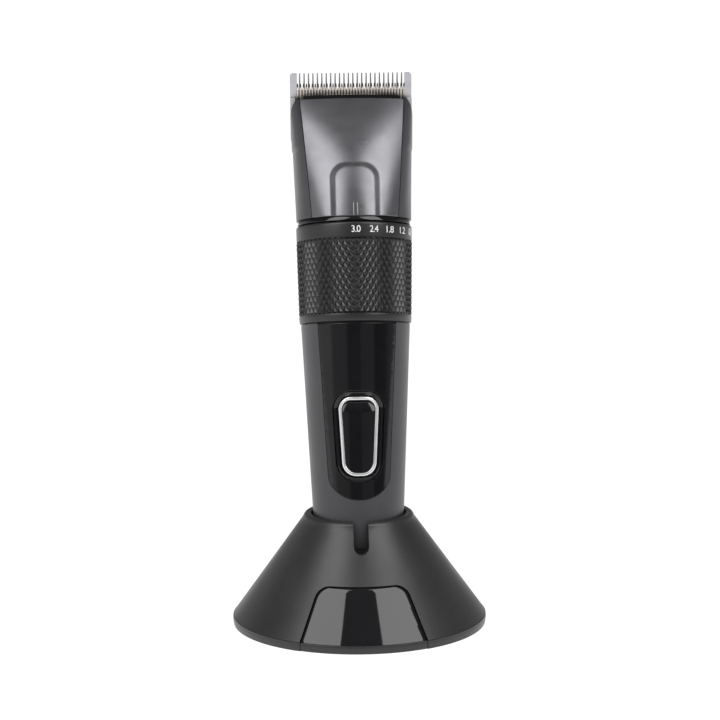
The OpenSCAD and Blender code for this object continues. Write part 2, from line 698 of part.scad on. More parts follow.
module blade_carrier() color("#9a9c9c") at_blade() difference() {
    union() {
        for (s = [0, 1]) mirror([s, 0, 0]) {
            box([carrier_x, -4.4, carrier_low], [blade_w / 2 - 0.05, -0.02, -14]);
            box([20.2, -3.2, -14.1], [blade_w / 2 - 0.05, -0.02, -8.8]);
        }
        box([-carrier_x - 0.1, -0.9, -20.4], [carrier_x + 0.1, -0.02, -17.6]);
    }
    for (s = [-1, 1]) translate([s * 19.2, 0, -18.6]) rotate([90, 0, 0]) cylinder(h = 3.4, r = 1);
    translate([0, hinge_y, hinge_z]) rotate([0, 90, 0]) cylinder(h = far, r = 0.82, center = true);
}

module blade_screws() color("#a6a8ab") at_blade() for (s = [-1, 1])
    translate([s * 19.2, 0, -18.6]) rotate([90, 0, 0]) {
        translate([0, 0, -2.3]) difference() {
            cylinder(h = 0.98, r = 2.2);
            box([-1.6, -0.25, -1], [1.6, 0.25, 0.5]);
        }
        translate([0, 0, -1.4]) cylinder(h = 4.6, r = 0.98);
    }
// The pins that the blade unit tips back on when it is unclipped.
module blade_hinge_pin() color("#b8babc") at_blade() for (s = [-1, 1])
    translate([s * 18, hinge_y, hinge_z]) rotate([0, 90, 0]) cylinder(h = 6.8, r = 0.8, center = true);

// The bracket in the head that holds the two hinge pins.
module blade_bracket() color("#8b8d90") difference() {
    union() {
        for (s = [-1, 1]) translate([s * 15.3, 0, 0]) from_side(0.7) polygon([
            [10.9, 153.7], [13.2, 153.7], [13.2, 150.8], [12.9, 150.1],
            [12.9, 143], [11.6, 143], [11.6, 148.6], [10.9, 150.6]]);
        box([-16, 11.6, 143], [16, 12.9, 147.5]);
    }
    at_blade() translate([0, hinge_y, hinge_z]) rotate([0, 90, 0]) cylinder(h = far, r = 0.8, center = true);
}

stand_shell();
stand_window();
stand_cup();
base_plate();
foot_ring();
base_screws();
stand_board();
pin_barrels();
charge_pin_left();
charge_pin_right();
power_inlet();
in_stand() front_shell();
in_stand() rear_shell();
in_stand() gloss_inlay();
in_stand() button_bezel();
in_stand() power_button();
in_stand() button_trim();
in_stand() end_cap();
in_stand() contact_pads();
in_stand() charge_socket();
in_stand() battery_cell();
in_stand() battery_cradle();
in_stand() circuit_board();
in_stand() tact_switch();
in_stand() motor_can();
in_stand() motor_cushion();
in_stand() motor_shaft();
in_stand() eccentric();
in_stand() motor_mount();
in_stand() neck_tube();
in_stand() gloss_collar();
in_stand() dial_ring();
in_stand() grip_sleeve();
in_stand() length_carriage();
in_stand() drive_lever();
in_stand() lever_pivot();
in_stand() neck_seal();
in_stand() head_cover();
in_stand() head_frame();
in_stand() head_liner();
in_stand() fixed_blade();
in_stand() blade_carrier();
in_stand() blade_hinge_pin();
in_stand() blade_bracket();
in_stand() blade_screws();
in_stand() cutter_blade();
in_stand() cutter_bridge();
in_stand() cutter_sled();
in_stand() pressure_spring();
in_stand() housing_screws();
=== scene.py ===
import json
import math

import bmesh
import bpy
import numpy as np
from mathutils import Matrix, Vector
from mathutils.geometry import delaunay_2d_cdt


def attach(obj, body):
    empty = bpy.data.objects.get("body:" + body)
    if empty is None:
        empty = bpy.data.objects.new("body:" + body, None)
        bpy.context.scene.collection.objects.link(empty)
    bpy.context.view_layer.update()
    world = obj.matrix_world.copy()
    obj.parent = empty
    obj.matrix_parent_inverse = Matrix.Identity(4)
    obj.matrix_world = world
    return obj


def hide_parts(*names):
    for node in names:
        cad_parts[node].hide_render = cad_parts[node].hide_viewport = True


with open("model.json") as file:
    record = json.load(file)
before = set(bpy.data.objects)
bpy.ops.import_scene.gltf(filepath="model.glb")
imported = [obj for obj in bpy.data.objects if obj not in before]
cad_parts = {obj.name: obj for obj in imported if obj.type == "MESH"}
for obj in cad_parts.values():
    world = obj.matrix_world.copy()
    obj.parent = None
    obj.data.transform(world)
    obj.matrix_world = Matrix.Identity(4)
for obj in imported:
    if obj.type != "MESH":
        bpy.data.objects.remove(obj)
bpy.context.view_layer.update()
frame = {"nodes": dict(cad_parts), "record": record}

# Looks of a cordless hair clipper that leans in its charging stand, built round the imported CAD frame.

# Shapes are drawn in millimetres in three frames, as in the CAD: the stand's own, the handset's, which
# leans back in the stand, and the blade's, whose origin is at the middle of the teeth's tips.
MM = 0.001
STAND = Matrix.Identity(4)
HANDSET = Matrix.Translation((0, -2.9845, 22.8715)) @ Matrix.Rotation(math.radians(-12), 4, "X")
BLADE = HANDSET @ Matrix.Translation((0, 8, 174.6)) @ Matrix.Rotation(math.radians(15), 4, "X")


# ---- flat paths and regions ----
def line(p, q, count):
    """Points from p to q, both ends included."""
    t = np.linspace(0, 1, count + 1)[:, None]
    return np.array(p, float) * (1 - t) + np.array(q, float) * t


def arc(centre, radius, start, end, count, squash=1.0):
    """Points on a circle's arc between two angles in degrees; squash scales its height."""
    a = np.radians(np.linspace(start, end, count + 1))
    return np.stack([centre[0] + radius * np.cos(a), centre[1] + radius * squash * np.sin(a)], 1)


def path(*parts):
    """Joins parts end to end and drops the points that repeat."""
    points = np.vstack(parts)
    step = np.linalg.norm(np.diff(points, axis=0), axis=1)
    return points[np.concatenate([[True], step > 1e-6])]


def closed(*parts):
    """A closed path, without its first point repeated at its end."""
    points = path(*parts)
    return points[:-1] if np.linalg.norm(points[0] - points[-1]) < 1e-6 else points


def mirrored(points):
    """The same path seen in a mirror at x = 0, run backwards."""
    return (points * [-1, 1])[::-1]


def dense(points, step):
    """A path with no stretch longer than step."""
    parts = [
        line(p, q, max(1, math.ceil(np.linalg.norm(q - p) / step)))
        for p, q in zip(points[:-1], points[1:])
    ]
    return path(*parts)


def inside(points, loops):
    """Which points lie in the first loop and in none of the others."""
    found = np.zeros(len(points), bool)
    x, y = points[:, 0], points[:, 1]
    for loop in loops:
        for (x0, y0), (x1, y1) in zip(loop, np.roll(loop, -1, axis=0)):
            if y0 != y1:
                found ^= ((y0 > y) != (y1 > y)) & (x < (x1 - x0) * (y - y0) / (y1 - y0) + x0)
    return found


def distance(points, loop, open_end=False):
    """How far each point is from a path."""
    best = np.full(len(points), 1e9)
    ends = np.roll(loop, -1, axis=0)
    pairs = list(zip(loop, ends))
    for p, q in pairs[:-1] if open_end else pairs:
        d = q - p
        t = np.clip(((points - p) @ d) / max(d @ d, 1e-12), 0, 1)
        best = np.minimum(best, np.linalg.norm(points - p - t[:, None] * d, axis=1))
    return best


def triangulate(loops, step, lines=()):
    """Fills a flat region with even triangles.

    Returns its points, its triangles and each loop's point numbers.
    """
    loops = [np.asarray(loop, float) for loop in loops]
    lines = [np.asarray(one, float) for one in lines]
    low, high = loops[0].min(0), loops[0].max(0)
    xs = np.arange(low[0] + step / 2, high[0], step)
    rows = np.arange(low[1] + step / 2, high[1], step * 0.87)
    spots = np.array([(x + (i % 2) * step / 2, y) for i, y in enumerate(rows) for x in xs])
    spots = spots[inside(spots, loops)]
    clear = step * 0.5
    for loop in loops:
        spots = spots[distance(spots, loop) > clear]
    for one in lines:
        spots = spots[distance(spots, one, True) > clear]
    edges, start = [], 0
    for loop in loops:
        n = len(loop)
        edges += [(start + i, start + (i + 1) % n) for i in range(n)]
        start += n
    for one in lines:
        n = len(one)
        edges += [(start + i, start + i + 1) for i in range(n - 1)]
        start += n
    known = np.vstack([*loops, *lines, spots])
    made = delaunay_2d_cdt([Vector(p) for p in known], edges, [], 0, 1e-5)
    points = np.array(made[0], float).reshape(-1, 2)
    faces = np.array([f for f in made[2] if len(f) == 3])
    faces = faces[inside(points[faces].mean(1), loops)]
    place_of = {old: new for new, olds in enumerate(made[3]) for old in olds}
    numbers, start = [], 0
    for loop in loops:
        numbers.append([place_of[start + i] for i in range(len(loop))])
        start += len(loop)
    return points, faces, numbers


# ---- solids ----
class Shape:
    """A mesh that is put together from grids, skins and slabs, and welded when it is built."""

    def __init__(self):
        self.points, self.faces = [], []

    def add(self, points):
        start = len(self.points)
        self.points.extend(tuple(map(float, p)) for p in points)
        return list(range(start, len(self.points)))

    def strip(self, a, b, around=False):
        n = len(a)
        for i in range(n if around else n - 1):
            j = (i + 1) % n
            self.faces.append((a[i], a[j], b[j], b[i]))

    def grid(self, rows, around=False, loop=False):
        ids = [self.add(row) for row in rows]
        for a, b in zip(ids, ids[1:] + ids[:1] if loop else ids[1:]):
            self.strip(a, b, around)
        return ids

    def face(self, points):
        self.faces.append(tuple(self.add(points)))

    def skin(self, loops, step, place, lines=()):
        points, faces, _ = triangulate(loops, step, lines)
        ids = self.add(place(points))
        self.faces += [tuple(ids[i] for i in f) for f in faces]

    def slab(self, loops, step, front, back, lines=()):
        points, faces, numbers = triangulate(loops, step, lines)
        a, b = self.add(front(points)), self.add(back(points))
        self.faces += [tuple(a[i] for i in f) for f in faces]
        self.faces += [tuple(b[i] for i in f[::-1]) for f in faces]
        for loop in numbers:
            self.strip([a[i] for i in loop], [b[i] for i in loop], True)

    def wall(self, a, b):
        self.grid([a, b])

    def lathe(self, profile, count=192):
        """A ring turned from a closed profile of (radius, height)."""
        angles = np.linspace(0, 2 * math.pi, count, endpoint=False)
        self.grid([[(r * math.sin(a), -r * math.cos(a), z) for a in angles] for r, z in profile], True, True)

    def box(self, low, high):
        x0, y0, z0 = low
        x1, y1, z1 = high
        rows = [[(x0, y0, z), (x1, y0, z), (x1, y1, z), (x0, y1, z)] for z in (z0, z1)]
        ids = self.grid(rows, True)
        self.faces += [tuple(ids[0]), tuple(ids[1][::-1])]

    def prism(self, outline, place0, place1):
        """A solid between two placings of one closed outline, capped with single faces."""
        a, b = self.add(place0(outline)), self.add(place1(outline))
        self.strip(a, b, True)
        self.faces += [tuple(a), tuple(b[::-1])]

    def build(self, name, body, slot, nodes=(), space=HANDSET, bevel=0.0, segments=2, sharp=35):
        mesh = bpy.data.meshes.new(name)
        turn = np.array(space)
        points = (np.array(self.points) @ turn[:3, :3].T + turn[:3, 3]) * MM
        mesh.from_pydata(points.tolist(), [], self.faces)
        work = bmesh.new()
        work.from_mesh(mesh)
        bmesh.ops.remove_doubles(work, verts=work.verts, dist=2e-6)
        bmesh.ops.dissolve_degenerate(work, edges=work.edges, dist=1e-7)
        bmesh.ops.recalc_face_normals(work, faces=work.faces)
        work.to_mesh(mesh)
        work.free()
        mesh.polygons.foreach_set("use_smooth", [True] * len(mesh.polygons))
        mesh.set_sharp_from_angle(angle=math.radians(sharp))
        piece = bpy.data.objects.new(name, mesh)
        bpy.context.scene.collection.objects.link(piece)
        if bevel:
            mod = piece.modifiers.new("edges", "BEVEL")
            mod.width, mod.segments, mod.limit_method = bevel * MM, segments, "ANGLE"
            mod.angle_limit, mod.harden_normals, mod.miter_outer = math.radians(sharp), True, "MITER_ARC"
        mesh.materials.append(MATERIALS[slot])
        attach(piece, body)
        if nodes:
            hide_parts(*nodes)
        return piece


# ---- materials ----
class Nodes:
    """A short way to write a material's nodes."""

    def __init__(self, material):
        self.tree = material.node_tree
        self.shader = self.tree.nodes["Principled BSDF"]
        self.place = self.add("ShaderNodeTexCoord").outputs["Object"]

    def add(self, kind, **settings):
        node = self.tree.nodes.new(kind)
        for key, value in settings.items():
            setattr(node, key, value)
        return node

    def link(self, a, b):
        self.tree.links.new(a, b)

    def noise(self, scale, stretch=(1, 1, 1), detail=3.0, rough=0.55):
        spread = self.add("ShaderNodeMapping")
        spread.inputs["Scale"].default_value = stretch
        self.link(self.place, spread.inputs["Vector"])
        made = self.add("ShaderNodeTexNoise")
        made.inputs["Scale"].default_value = scale
        made.inputs["Detail"].default_value = detail
        made.inputs["Roughness"].default_value = rough
        self.link(spread.outputs["Vector"], made.inputs["Vector"])
        return made.outputs["Fac"]

    def spread(self, value, low, high, start=0.3, end=0.7):
        made = self.add("ShaderNodeMapRange")
        for key, v in (("From Min", start), ("From Max", end), ("To Min", low), ("To Max", high)):
            made.inputs[key].default_value = v
        self.link(value, made.inputs["Value"])
        return made.outputs["Result"]

    def axis(self, name):
        """One of the object's own coordinates, in metres."""
        split = self.add("ShaderNodeSeparateXYZ")
        self.link(self.place, split.inputs[0])
        return split.outputs[name]

    def maths(self, operation, value, number=None):
        made = self.add("ShaderNodeMath", operation=operation)
        self.link(value, made.inputs[0])
        if number is not None:
            made.inputs[1].default_value = number
        return made.outputs[0]

    def mix(self, factor, a, b):
        made = self.add("ShaderNodeMix", data_type="RGBA")
        for socket, colour in ((made.inputs[6], a), (made.inputs[7], b)):
            if isinstance(colour, tuple):
                socket.default_value = (*colour, 1)
            else:
                self.link(colour, socket)
        self.link(factor, made.inputs[0])
        return made.outputs[2]

    def bump(self, height, distance, strength=1.0, under=None):
        made = self.add("ShaderNodeBump")
        made.inputs["Strength"].default_value = strength
        made.inputs["Distance"].default_value = distance * MM
        self.link(height, made.inputs["Height"])
        if under is not None:
            self.link(under, made.inputs["Normal"])
        return made.outputs["Normal"]


MATERIALS = {}


def tinted(colour, share):
    return tuple(min(1.0, c * share) for c in colour)


def finish(slot, colour, rough, metal=0.0, coat=0.0, grain=(2600, 0.012), mottle=(90, 0.10),
           rough_spread=0.05, stretch=(1, 1, 1), specular=0.5, coat_rough=0.06):
    """A material with mottled colour, uneven roughness and a fine grain.

    grain is the grain's scale and its height in millimetres; mottle is the mottling's scale and strength.
    """
    made = bpy.data.materials.new(slot)
    made.use_nodes = True
    n = Nodes(made)
    shader = n.shader.inputs
    shader["Metallic"].default_value = metal
    shader["Specular IOR Level"].default_value = specular
    shader["Coat Weight"].default_value = coat
    shader["Coat Roughness"].default_value = coat_rough
    cloud = n.noise(mottle[0], stretch)
    low, high = tinted(colour, 1 - mottle[1]), tinted(colour, 1 + mottle[1])
    speck = n.noise(grain[0] * 0.8, stretch, 2.0)
    base = n.mix(n.spread(cloud, 0, 1), low, high)
    fleck = n.mix(n.spread(speck, 0.0, 0.35), base, tinted(colour, 1 + 2 * mottle[1]))
    n.link(fleck, shader["Base Color"])
    wear = n.noise(mottle[0] * 0.45, (1, 1, 1), 5.0)
    n.link(n.spread(wear, rough - rough_spread, rough + rough_spread), shader["Roughness"])
    fine = n.noise(grain[0], stretch, 2.0, 0.6)
    wave = n.noise(mottle[0] * 0.3, (1, 1, 1), 2.0)
    n.link(n.bump(fine, grain[1], 1.0, n.bump(wave, 0.01, 0.5)), shader["Normal"])
    MATERIALS[slot] = made
    return n


def shade(n, level):
    """Multiplies a material's colour by a level that its nodes give; the blades use it for painted shade and
    a painted highlight.
    """
    socket = n.shader.inputs["Base Color"]
    was = socket.links[0].from_socket
    made = n.add("ShaderNodeMix", data_type="RGBA", blend_type="MULTIPLY")
    made.inputs[0].default_value = 1
    n.link(was, made.inputs[6])
    n.link(level, made.inputs[7])
    n.link(made.outputs[2], socket)


# widths and heights of the blades that both their shapes and their materials use; the two heights are
# above the floor, with the handset at rest in the stand, and bound the cutter's painted highlight bar
BLADE_HALF, POST_W = 21.95, 2.55
RIB_PITCH = 1.067
RIB_TOP, HIGHLIGHT_BAR_TOP = 186.0, 186.9


def blade_steel():
    """Brushed steel, with painted shade that makes the fine teeth darker than the broad posts at the blade's
    two ends.
    """
    n = finish("blade_steel", (0.60, 0.60, 0.63), 0.28, metal=1.0, grain=(2600, 0.004),
               stretch=(0.06, 1, 1), mottle=(300, 0.08))
    post = BLADE_HALF - POST_W
    # painted shade: the colour is darkened across the fine teeth and lighter again on the posts
    shade(n, n.spread(n.maths("ABSOLUTE", n.axis("X")), 0.30, 0.85, (post - 0.4) * MM, post * MM))


def cutter_steel():
    """Ribs with painted shade in the grooves between them, a painted highlight bar above them, and painted
    shade on the teeth at the top.
    """
    n = finish("cutter_steel", (0.66, 0.60, 0.56), 0.30, metal=0.9, grain=(2600, 0.004),
               stretch=(1, 1, 0.08), mottle=(300, 0.1))
    turn = n.maths("MULTIPLY", n.axis("X"), 2 * math.pi / (RIB_PITCH * MM))
    # painted shade: the colour darkens in the grooves between the ribs
    groove_shade = n.spread(n.maths("COSINE", turn), 0.28, 1.15, -0.6, 0.4)
    height = n.axis("Z")
    over_ribs = n.spread(height, 0, 1, RIB_TOP * MM, (RIB_TOP + 0.2) * MM)
    over_shaded_teeth = n.spread(height, 0, 1, HIGHLIGHT_BAR_TOP * MM, (HIGHLIGHT_BAR_TOP + 0.3) * MM)
    # painted highlight: a brighter bar above the ribs, then painted shade darkening the teeth above it
    groove_shade_then_highlight = n.mix(over_ribs, groove_shade, (1.2, 1.2, 1.2))
    shade(n, n.mix(over_shaded_teeth, groove_shade_then_highlight, (0.16, 0.14, 0.13)))


finish("stand_matte", (0.022, 0.022, 0.0235), 0.38, grain=(2400, 0.010))
finish("stand_gloss", (0.006, 0.006, 0.007), 0.05, grain=(400, 0.0006), mottle=(60, 0.2), rough_spread=0.015)
finish("foot_rubber", (0.022, 0.022, 0.022), 0.75, grain=(1800, 0.03))
finish("board", (0.02, 0.13, 0.05), 0.35, coat=0.4, grain=(900, 0.01))
finish("contact_metal", (0.85, 0.62, 0.28), 0.2, metal=1.0, grain=(2500, 0.003))
finish("dark_plastic", (0.028, 0.028, 0.029), 0.45, grain=(2200, 0.012))
finish("handle_satin", (0.044, 0.044, 0.048), 0.38, grain=(2600, 0.008), mottle=(70, 0.08))
finish("handle_gloss", (0.005, 0.005, 0.006), 0.06, grain=(400, 0.0006), mottle=(60, 0.2), rough_spread=0.015)
finish("silver_trim", (0.80, 0.80, 0.81), 0.30, metal=0.9, grain=(3000, 0.003), mottle=(150, 0.05))
finish("cell_wrap", (0.05, 0.18, 0.45), 0.25, coat=0.3, grain=(500, 0.01))
finish("switch_metal", (0.62, 0.62, 0.63), 0.3, metal=0.95, grain=(2500, 0.003), stretch=(0.1, 1, 1))
finish("screw_steel", (0.42, 0.42, 0.43), 0.3, metal=1.0, grain=(2500, 0.004))
finish("dial_satin", (0.016, 0.016, 0.017), 0.33, grain=(2400, 0.009))
finish("grip_rubber", (0.008, 0.008, 0.0085), 0.25, grain=(2400, 0.006))
finish("acetal", (0.75, 0.74, 0.70), 0.4, grain=(1500, 0.01))
finish("head_metallic", (0.165, 0.165, 0.176), 0.315, metal=0.88, coat=0.1, grain=(3200, 0.004),
       mottle=(220, 0.05), coat_rough=0.12)
finish("head_dark", (0.07, 0.07, 0.076), 0.36, metal=0.6, coat=0.1, grain=(3000, 0.005),
       mottle=(160, 0.06), coat_rough=0.2)
finish("liner_black", (0.004, 0.004, 0.004), 0.6, grain=(2000, 0.01), specular=0.08)
finish("carrier_grey", (0.40, 0.40, 0.41), 0.45, grain=(1800, 0.012), mottle=(120, 0.06))
blade_steel()
cutter_steel()
finish("ink_white", (0.82, 0.82, 0.82), 0.5, grain=(1500, 0.004), mottle=(200, 0.04))

SLOT_OF = {row["node"]: row["material_slot"] for row in frame["record"]["subparts"]}
for node_name, node in frame["nodes"].items():
    for place in node.material_slots:
        place.material = MATERIALS[SLOT_OF[node_name]]


# ---- stand ----
SKIRT_Z = 3.0
STAND_H = 39.5
CREST_Z = 37.9
COLLAR_Z = 34.9
SLOT_HALF = 2.6
SLOT_ROUND_Z = 32.4
SPREAD = 32.0
SEAM = 1.5 * math.pi
BACK_COLUMNS, SIDE_COLUMNS = 150, 50
STAND_WALL = 2.8
PANEL_HALF_TURN = math.radians(29)


def cone_r(z):
    return 18.569 + 0.718 * (STAND_H - z)


class Wall:
    """A turned wall, unrolled: a flat point is (angle from the front times spread, height)."""

    def __init__(self, radius, spread):
        self.radius, self.spread = radius, spread

    def at(self, flat):
        flat = np.asarray(flat, float)
        a, r = flat[:, 0] / self.spread, self.radius(flat[:, 1])
        return np.stack([r * np.sin(a), -r * np.cos(a), flat[:, 1]], 1)

    def cut(self, seen, back=False):
        """The flat points of a path drawn as (x, z) from the front, on the wall's front or back."""
        seen = np.asarray(seen, float)
        a = np.arcsin(seen[:, 0] / self.radius(seen[:, 1]))
        return np.stack([(math.pi - a if back else a) * self.spread, seen[:, 1]], 1)


def sunk(radius, spread, depths):
    """Walls that follow one radius at several depths below it."""
    return [Wall(lambda z, d=d: radius(z) - d, spread) for d in depths]


def fronted(radius, depth):
    """A placing of (x, z) points on a round wall as seen from the front, at a depth below its surface."""

    def place(flat):
        below = depth(flat) if callable(depth) else depth
        r = radius(flat[:, 1]) - below
        return np.stack([flat[:, 0], -np.sqrt(r * r - flat[:, 0] ** 2), flat[:, 1]], 1)

    return place


def window_path(margin):
    """The front panel's outline from its left foot over the top to its right foot."""
    lean_degrees, corner_r, corner_z = 22, 6, 14.2
    lean = math.radians(lean_degrees)
    half = 45 * math.sin(PANEL_HALF_TURN)
    corner_x = half - (corner_z - SKIRT_Z) * math.tan(lean) - corner_r / math.cos(lean)
    corner = arc((corner_x, corner_z), corner_r + margin, lean_degrees, 90, 12)
    right = path(line((half + margin / math.cos(lean), SKIRT_Z), corner[0], 18), corner)
    top_z = corner_z + corner_r + margin
    top = line((-corner_x, top_z), (corner_x, top_z), 28)
    return path(mirrored(right)[::-1], top, right[::-1])


def bore_radius(angles, z):
    """How far the tilted bore's wall is from the stand's axis at a height, found by closing in on it."""
    foot_z, foot_r, growth = -4, 15.64, 1.89 / 34
    back = np.array(HANDSET.inverted())
    rho = np.full(len(angles), 17.0)
    for _ in range(12):
        p = np.stack([rho * np.sin(angles), -rho * np.cos(angles) + 0.45, np.full(len(angles), z)], 1)
        local = p @ back[:3, :3].T + back[:3, 3]
        rho += foot_r + (local[:, 2] - foot_z) * growth - np.hypot(local[:, 0], local[:, 1])
    return rho


def collar_row(radius_at, z):
    """Points round the collar from the slot's right side to its left, one of them at the seam."""
    start = 0.15
    for _ in range(8):
        start = math.asin(SLOT_HALF / float(radius_at(np.array([start]))[0]))
    side = np.linspace(SEAM, 2 * math.pi - start, SIDE_COLUMNS + 1)
    a = np.concatenate([np.linspace(start, SEAM, BACK_COLUMNS + 1), side[1:]])
    r = radius_at(a)
    return a, np.stack([r * np.sin(a), -r * np.cos(a), np.full(len(a), z)], 1)


def steady(radius):
    return lambda angles: np.full(len(angles), radius)


def stand_body():
    shape = Shape()
    outer, floor, inner = sunk(cone_r, SPREAD, (0, 1.35, STAND_WALL))
    left, right = -math.pi / 2 * SPREAD, SEAM * SPREAD
    over = window_path(0.1)
    notch = dense(np.array([(8.0, SKIRT_Z), (8, 14), (-8, 14), (-8, SKIRT_Z)]), 1.2)
    slot_low = path(
        line((SLOT_HALF, COLLAR_Z), (SLOT_HALF, SLOT_ROUND_Z), 4),
        arc((0, SLOT_ROUND_Z), SLOT_HALF, 0, -180, 14),
        line((-SLOT_HALF, SLOT_ROUND_Z), (-SLOT_HALF, COLLAR_Z), 4),
    )

    def edge(wall, top_z):
        window, rear = wall.cut(over), wall.cut(notch, True)
        angles, _ = collar_row(steady(wall.radius(top_z)), top_z)
        tops = np.stack([angles * SPREAD, np.full(len(angles), top_z)], 1)
        slot = path(line((SLOT_HALF, top_z), slot_low[0], 4), slot_low,
                    line(slot_low[-1], (-SLOT_HALF, top_z), 4))
        return {
            "foot_a": line((left, SKIRT_Z), window[0], 26),
            "window": window,
            "across": wall.cut(line(over[0], over[-1], 50)),
            "foot_b": line(window[-1], rear[0], 60),
            "notch": rear,
            "foot_c": line(rear[-1], (right, SKIRT_Z), 40),
            "seam_b": line((right, SKIRT_Z), (right, top_z), 22),
            "top_b": tops[:BACK_COLUMNS + 1][::-1],
            "slot": wall.cut(slot),
            "top_a": (tops[BACK_COLUMNS:] - [2 * math.pi * SPREAD, 0])[::-1],
            "seam_a": line((left, top_z), (left, SKIRT_Z), 22),
        }

    out, low, ins = edge(outer, CREST_Z), edge(floor, COLLAR_Z), edge(inner, COLLAR_Z)
    names = ["foot_a", "window", "foot_b", "notch", "foot_c", "seam_b", "top_b", "slot", "top_a", "seam_a"]
    shape.skin([closed(*[out[n] for n in names])], 1.5, outer.at)
    shape.skin([closed(*[ins["across" if n == "window" else n] for n in names])], 2.5, inner.at)
    shape.skin([closed(low["window"], low["across"][::-1])], 1.5, floor.at)
    shape.wall(outer.at(out["window"]), floor.at(low["window"]))
    shape.wall(floor.at(low["across"]), inner.at(ins["across"]))
    for name in ("foot_a", "foot_b", "notch", "foot_c"):
        shape.wall(outer.at(out[name]), inner.at(ins[name]))
    slot_out, slot_in = outer.at(out["slot"]), inner.at(ins["slot"])
    skip = (len(slot_out) - len(slot_in)) // 2
    shape.wall(slot_out[skip:len(slot_out) - skip], slot_in)
    start, bend, stop = np.array([(cone_r(CREST_Z), CREST_Z), (19.2, 39.45), (18.27, STAND_H)])
    rows = []
    for t in np.linspace(0, 1, 9):
        r, z = (1 - t) ** 2 * start + 2 * t * (1 - t) * bend + t * t * stop
        rows.append(collar_row(steady(r), z)[1])
    for z, share in ((STAND_H, 0.22), (39.43, 0.06), (39.28, 0), (38, 0), (36.5, 0), (COLLAR_Z, 0)):
        rows.append(collar_row(lambda a: bore_radius(a, z) + share, z)[1])
    rows.append(collar_row(steady(cone_r(COLLAR_Z) - STAND_WALL), COLLAR_Z)[1])
    shape.grid(rows)
    for end, side in ((0, slot_out[:skip + 1]), (-1, slot_out[len(slot_out) - skip - 1:][::-1])):
        shape.face([*side, *[row[end] for row in rows[:0:-1]]])
    shape.build("stand_body", "stand", "stand_matte", ["stand_shell"], STAND, bevel=0.22, sharp=40)


def stand_panel():
    """The glossy front panel, its edge dropping a little all round, and the foot below it."""
    over = window_path(0)
    loop = closed(over, line(over[-1], over[0], 50))

    def drop(flat):
        near = np.clip(1 - distance(flat, over, True) / 0.85, 0, 1)
        return 0.3 + 0.42 * near ** 2

    shape = Shape()
    shape.slab([loop], 0.9, fronted(cone_r, drop), fronted(cone_r, 1.3),
               [window_path(-0.3)[1:-1], window_path(-0.6)[1:-1], window_path(-0.9)[1:-1]])
    shape.build("stand_panel", "stand", "stand_gloss", ["stand_window"], STAND, bevel=0.12, sharp=45)
    foot = Shape()
    profile = [(44.6, 0.1), (44.72, 0.75), (44.85, 1.8), (44.78, 2.7), (44.65, 2.97),
               (43.0, 2.97), (43.0, 0.1)]
    turns = np.linspace(-PANEL_HALF_TURN, PANEL_HALF_TURN, 61)
    rows = [[(r * math.sin(a), -r * math.cos(a), z) for r, z in profile] for a in turns]
    foot.grid(rows, True)
    foot.face(rows[0])
    foot.face(rows[-1])
    foot.build("panel_foot", "stand", "stand_matte", (), STAND, bevel=0.1, sharp=40)


stand_body()
stand_panel()


# ---- handle ----
HANDLE_LEN, HANDLE_FOOT = 83.0, 4
HANDLE_SPREAD = 17.5
HANDLE_WALL = 1.8
BEZEL_MARGIN = 2.1
JOIN_ANGLE = 0.003  # half the gap between the two handle shells, in radians


def handle_r(z):
    return 15.3 + 4.05 * z / HANDLE_LEN


def inlay_path(margin, top):
    """The glossy inlay's outline from its right top corner down round its lower end and up again."""
    w0 = 10.75 + margin
    right = line((w0 + 3.15 * (top - 30) / 58, top), (w0, 30), 52)
    return path(right, arc((0, 30), w0, 0, -180, 48, (9 + margin) / w0), mirrored(right))


def button_loop(margin):
    """The button's outline, anticlockwise from the right end of its bottom."""
    lean = -3.11
    low = arc((1, 34.3), 5 + margin, -90, lean, 16)
    high = arc((2.8, 52.7), 4.2 + margin, lean, 90, 16)
    right = path(low, line(low[-1], high[0], 24), high)
    left = mirrored(right)
    return closed(right, line(right[-1], left[0], 8), left, line(left[-1], right[0], 4))


def swept(outline, radius, profile):
    """A closed ring whose section is a list of (margin, depth) pairs."""
    shape = Shape()
    shape.grid([fronted(radius, depth)(outline(margin)) for margin, depth in profile], True, True)
    return shape


def front_half():
    shape = Shape()
    outer, floor, inner = sunk(handle_r, HANDLE_SPREAD, (0, 1.2, HANDLE_WALL))
    end = (math.pi / 2 - JOIN_ANGLE) * HANDLE_SPREAD
    outline, hole = inlay_path(0.12, HANDLE_LEN), button_loop(BEZEL_MARGIN)

    def edge(wall):
        inlay = wall.cut(outline)
        return {
            "bottom": line((-end, HANDLE_FOOT), (end, HANDLE_FOOT), 56),
            "right": line((end, HANDLE_FOOT), (end, HANDLE_LEN), 80),
            "top_right": line((end, HANDLE_LEN), inlay[0], 14),
            "inlay": inlay,
            "across": wall.cut(line(outline[0], outline[-1], 40)),
            "top_left": line(inlay[-1], (-end, HANDLE_LEN), 14),
            "left": line((-end, HANDLE_LEN), (-end, HANDLE_FOOT), 80),
            "hole": wall.cut(hole),
        }

    out, low, ins = edge(outer), edge(floor), edge(inner)
    names = ["bottom", "right", "top_right", "inlay", "top_left", "left"]
    shape.skin([closed(*[out[n] for n in names])], 1.1, outer.at)
    shape.skin([closed(*[ins["across" if n == "inlay" else n] for n in names]), ins["hole"]], 2.2, inner.at)
    shape.skin([closed(low["inlay"], low["across"][::-1]), low["hole"]], 2.0, floor.at)
    shape.wall(outer.at(out["inlay"]), floor.at(low["inlay"]))
    shape.wall(floor.at(low["across"]), inner.at(ins["across"]))
    for name in ("bottom", "right", "top_right", "top_left", "left"):
        shape.wall(outer.at(out[name]), inner.at(ins[name]))
    shape.grid([floor.at(low["hole"]), inner.at(ins["hole"])], True)
    shape.build("handle_front", "handset", "handle_satin", ["front_shell"], bevel=0.14, sharp=40)


